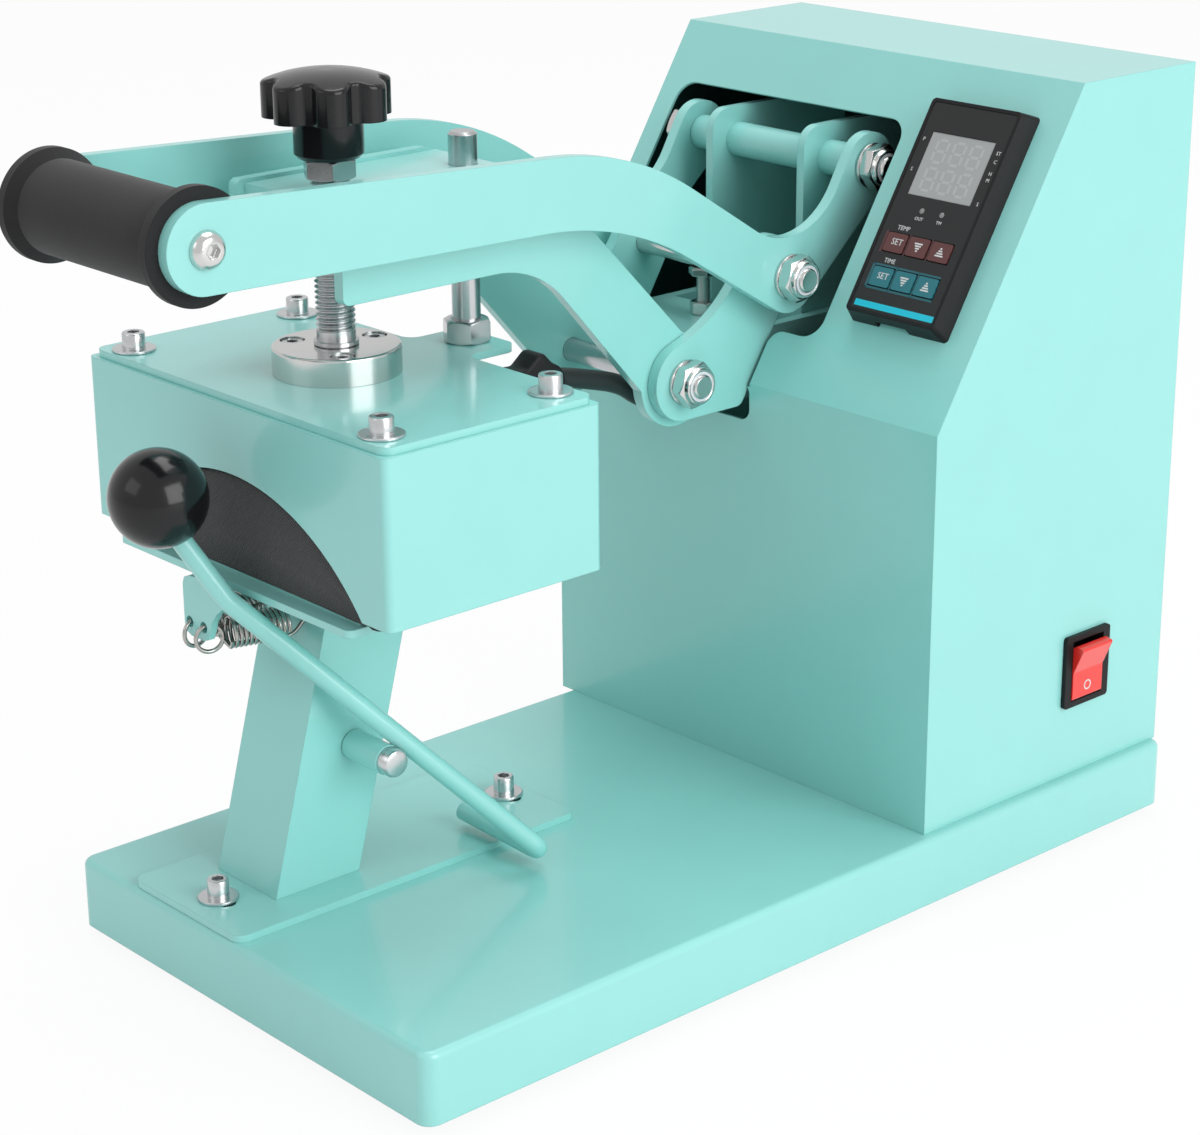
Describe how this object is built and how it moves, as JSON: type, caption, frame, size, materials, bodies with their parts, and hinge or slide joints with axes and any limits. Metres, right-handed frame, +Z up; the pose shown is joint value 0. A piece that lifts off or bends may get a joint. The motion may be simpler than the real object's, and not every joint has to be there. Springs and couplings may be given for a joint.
{
  "type": "cap heat press",
  "caption": "Cap heat press: an over-centre lever lowers a heated arched head onto a curved padded platen on a stand, with a tower, digital controller and power switch.",
  "frame": {"origin": "centre of the overall footprint at bench level, under the rubber feet", "axes": "+X to the machine's right, the side with the power switch; +Y to the back, the tower; +Z up. The press stands shut, handle down."},
  "size_m": [0.2434, 0.4404, 0.346],
  "materials": {
    "mint_paint": "satin powder coat",
    "steel": "brushed",
    "zinc": "bright zinc plate",
    "chrome": "polished",
    "foam": "matt foam",
    "feet_rubber": "matt",
    "black_plastic": "moulded gloss",
    "matte_black": "moulded matt",
    "face_plastic": "printed overlay",
    "lcd": "display window",
    "red_key": "printed overlay",
    "teal_key": "printed overlay",
    "red_rocker": "translucent",
    "aluminium": "cast and machined",
    "pad": "woven silicone pad",
    "cable": "smooth jacket"
  },
  "bodies": {
    "base": {"base_pan": "mint_paint", "rubber_feet": "feet_rubber", "tower_shell": "mint_paint", "frame_plate_left": "mint_paint", "frame_plate_right": "mint_paint", "handle_pivot_bolt": "chrome", "handle_pivot_spacers": "mint_paint", "arm_pivot_bolt": "zinc", "arm_pivot_spacer": "mint_paint", "controller_case": "matte_black", "controller_face": "face_plastic", "controller_lcd": "lcd", "switch_bezel": "matte_black", "mains_inlet": "matte_black", "foot_plate": "mint_paint", "foot_bolts": "zinc", "stand_column": "mint_paint", "platen": "mint_paint", "platen_pad": "pad", "lever_bolt": "zinc", "spring_left": "zinc", "spring_right": "zinc", "heater_cable": "cable"},
    "handle": {"handle_arm_left": "mint_paint", "handle_arm_right": "mint_paint", "handle_grip": "foam", "grip_rod": "steel", "grip_bolts": "chrome", "link_pivot_bolt": "chrome", "link_pivot_spacers": "mint_paint"},
    "link": {"link_left": "mint_paint", "link_right": "mint_paint", "knuckle_ends": "chrome"},
    "head_arm": {"head_arm_left": "mint_paint", "head_arm_right": "mint_paint", "arm_plate": "mint_paint", "arm_web": "mint_paint", "limit_screw": "zinc", "knuckle_shaft": "chrome"},
    "head": {"head_cover": "mint_paint", "head_top_plate": "mint_paint", "heater_block": "aluminium", "head_bolts": "zinc", "screw_collar": "steel", "collar_bolts": "zinc", "guide_rod": "chrome", "cable_boot": "matte_black"},
    "press_screw": {"pressure_screw": "zinc", "pressure_knob": "black_plastic", "screw_nut": "zinc"},
    "clamp_lever": {"lever_rod": "mint_paint", "lever_ball": "black_plastic"},
    "rocker": {"switch_rocker": "red_rocker"},
    "temp_set": {"temp_set_key": "red_key"},
    "temp_down": {"temp_down_key": "red_key"},
    "temp_up": {"temp_up_key": "red_key"},
    "time_set": {"time_set_key": "teal_key"},
    "time_down": {"time_down_key": "teal_key"},
    "time_up": {"time_up_key": "teal_key"}
  },
  "joints": [
    {"name": "handle_lift", "type": "hinge", "parent": "base", "child": "handle", "pos_m": [-0.0288, 0.12675, 0.2844], "axis": [-1, 0, 0], "range_deg": [0, 55], "deforming": ["heater_cable"]},
    {"name": "link_swing", "type": "hinge", "parent": "handle", "child": "link", "pos_m": [-0.0288, 0.08115, 0.2456], "axis": [-1, 0, 0], "range_deg": [-80, 0]},
    {"name": "head_arm_lift", "type": "hinge", "parent": "base", "child": "head_arm", "pos_m": [-0.0288, 0.13775, 0.2065], "axis": [-1, 0, 0], "range_deg": [0, 21.7], "deforming": ["heater_cable"]},
    {"name": "head_travel", "type": "slide", "parent": "head_arm", "child": "head", "axis": [0, 0, 1], "range_m": [0, 0.012], "deforming": ["heater_cable"]},
    {"name": "screw_turn", "type": "hinge", "parent": "head", "child": "press_screw", "pos_m": [-0.0288, -0.10825, 0.325], "axis": [0, 0, 1], "range_deg": [0, 1081]},
    {"name": "lever_lift", "type": "hinge", "parent": "base", "child": "clamp_lever", "pos_m": [-0.0288, -0.12175, 0.0902], "axis": [1, 0, 0], "range_deg": [0, 25], "deforming": ["spring_left", "spring_right"]},
    {"name": "switch_rock", "type": "hinge", "parent": "base", "child": "rocker", "pos_m": [0.1147, 0.16575, 0.0809], "axis": [0, -1, 0], "range_deg": [0, 23.15]},
    {"name": "temp_set_press", "type": "slide", "parent": "base", "child": "temp_set", "axis": [0, 0.8472, -0.5312], "range_m": [0, 0.0008], "stiffness_N_per_m": 300},
    {"name": "temp_down_press", "type": "slide", "parent": "base", "child": "temp_down", "axis": [0, 0.8472, -0.5312], "range_m": [0, 0.0008], "stiffness_N_per_m": 300},
    {"name": "temp_up_press", "type": "slide", "parent": "base", "child": "temp_up", "axis": [0, 0.8472, -0.5312], "range_m": [0, 0.0008], "stiffness_N_per_m": 300},
    {"name": "time_set_press", "type": "slide", "parent": "base", "child": "time_set", "axis": [0, 0.8472, -0.5312], "range_m": [0, 0.0008], "stiffness_N_per_m": 300},
    {"name": "time_down_press", "type": "slide", "parent": "base", "child": "time_down", "axis": [0, 0.8472, -0.5312], "range_m": [0, 0.0008], "stiffness_N_per_m": 300},
    {"name": "time_up_press", "type": "slide", "parent": "base", "child": "time_up", "axis": [0, 0.8472, -0.5312], "range_m": [0, 0.0008], "stiffness_N_per_m": 300}
  ],
  "couplings": [
    {"joint": "link_swing", "follows": "handle_lift", "ratio": -1.4527},
    {"joint": "head_arm_lift", "follows": "handle_lift", "ratio": 0.39324},
    {"joint": "screw_turn", "follows": "head_travel", "rad_per_m": 1570.8}
  ]
}
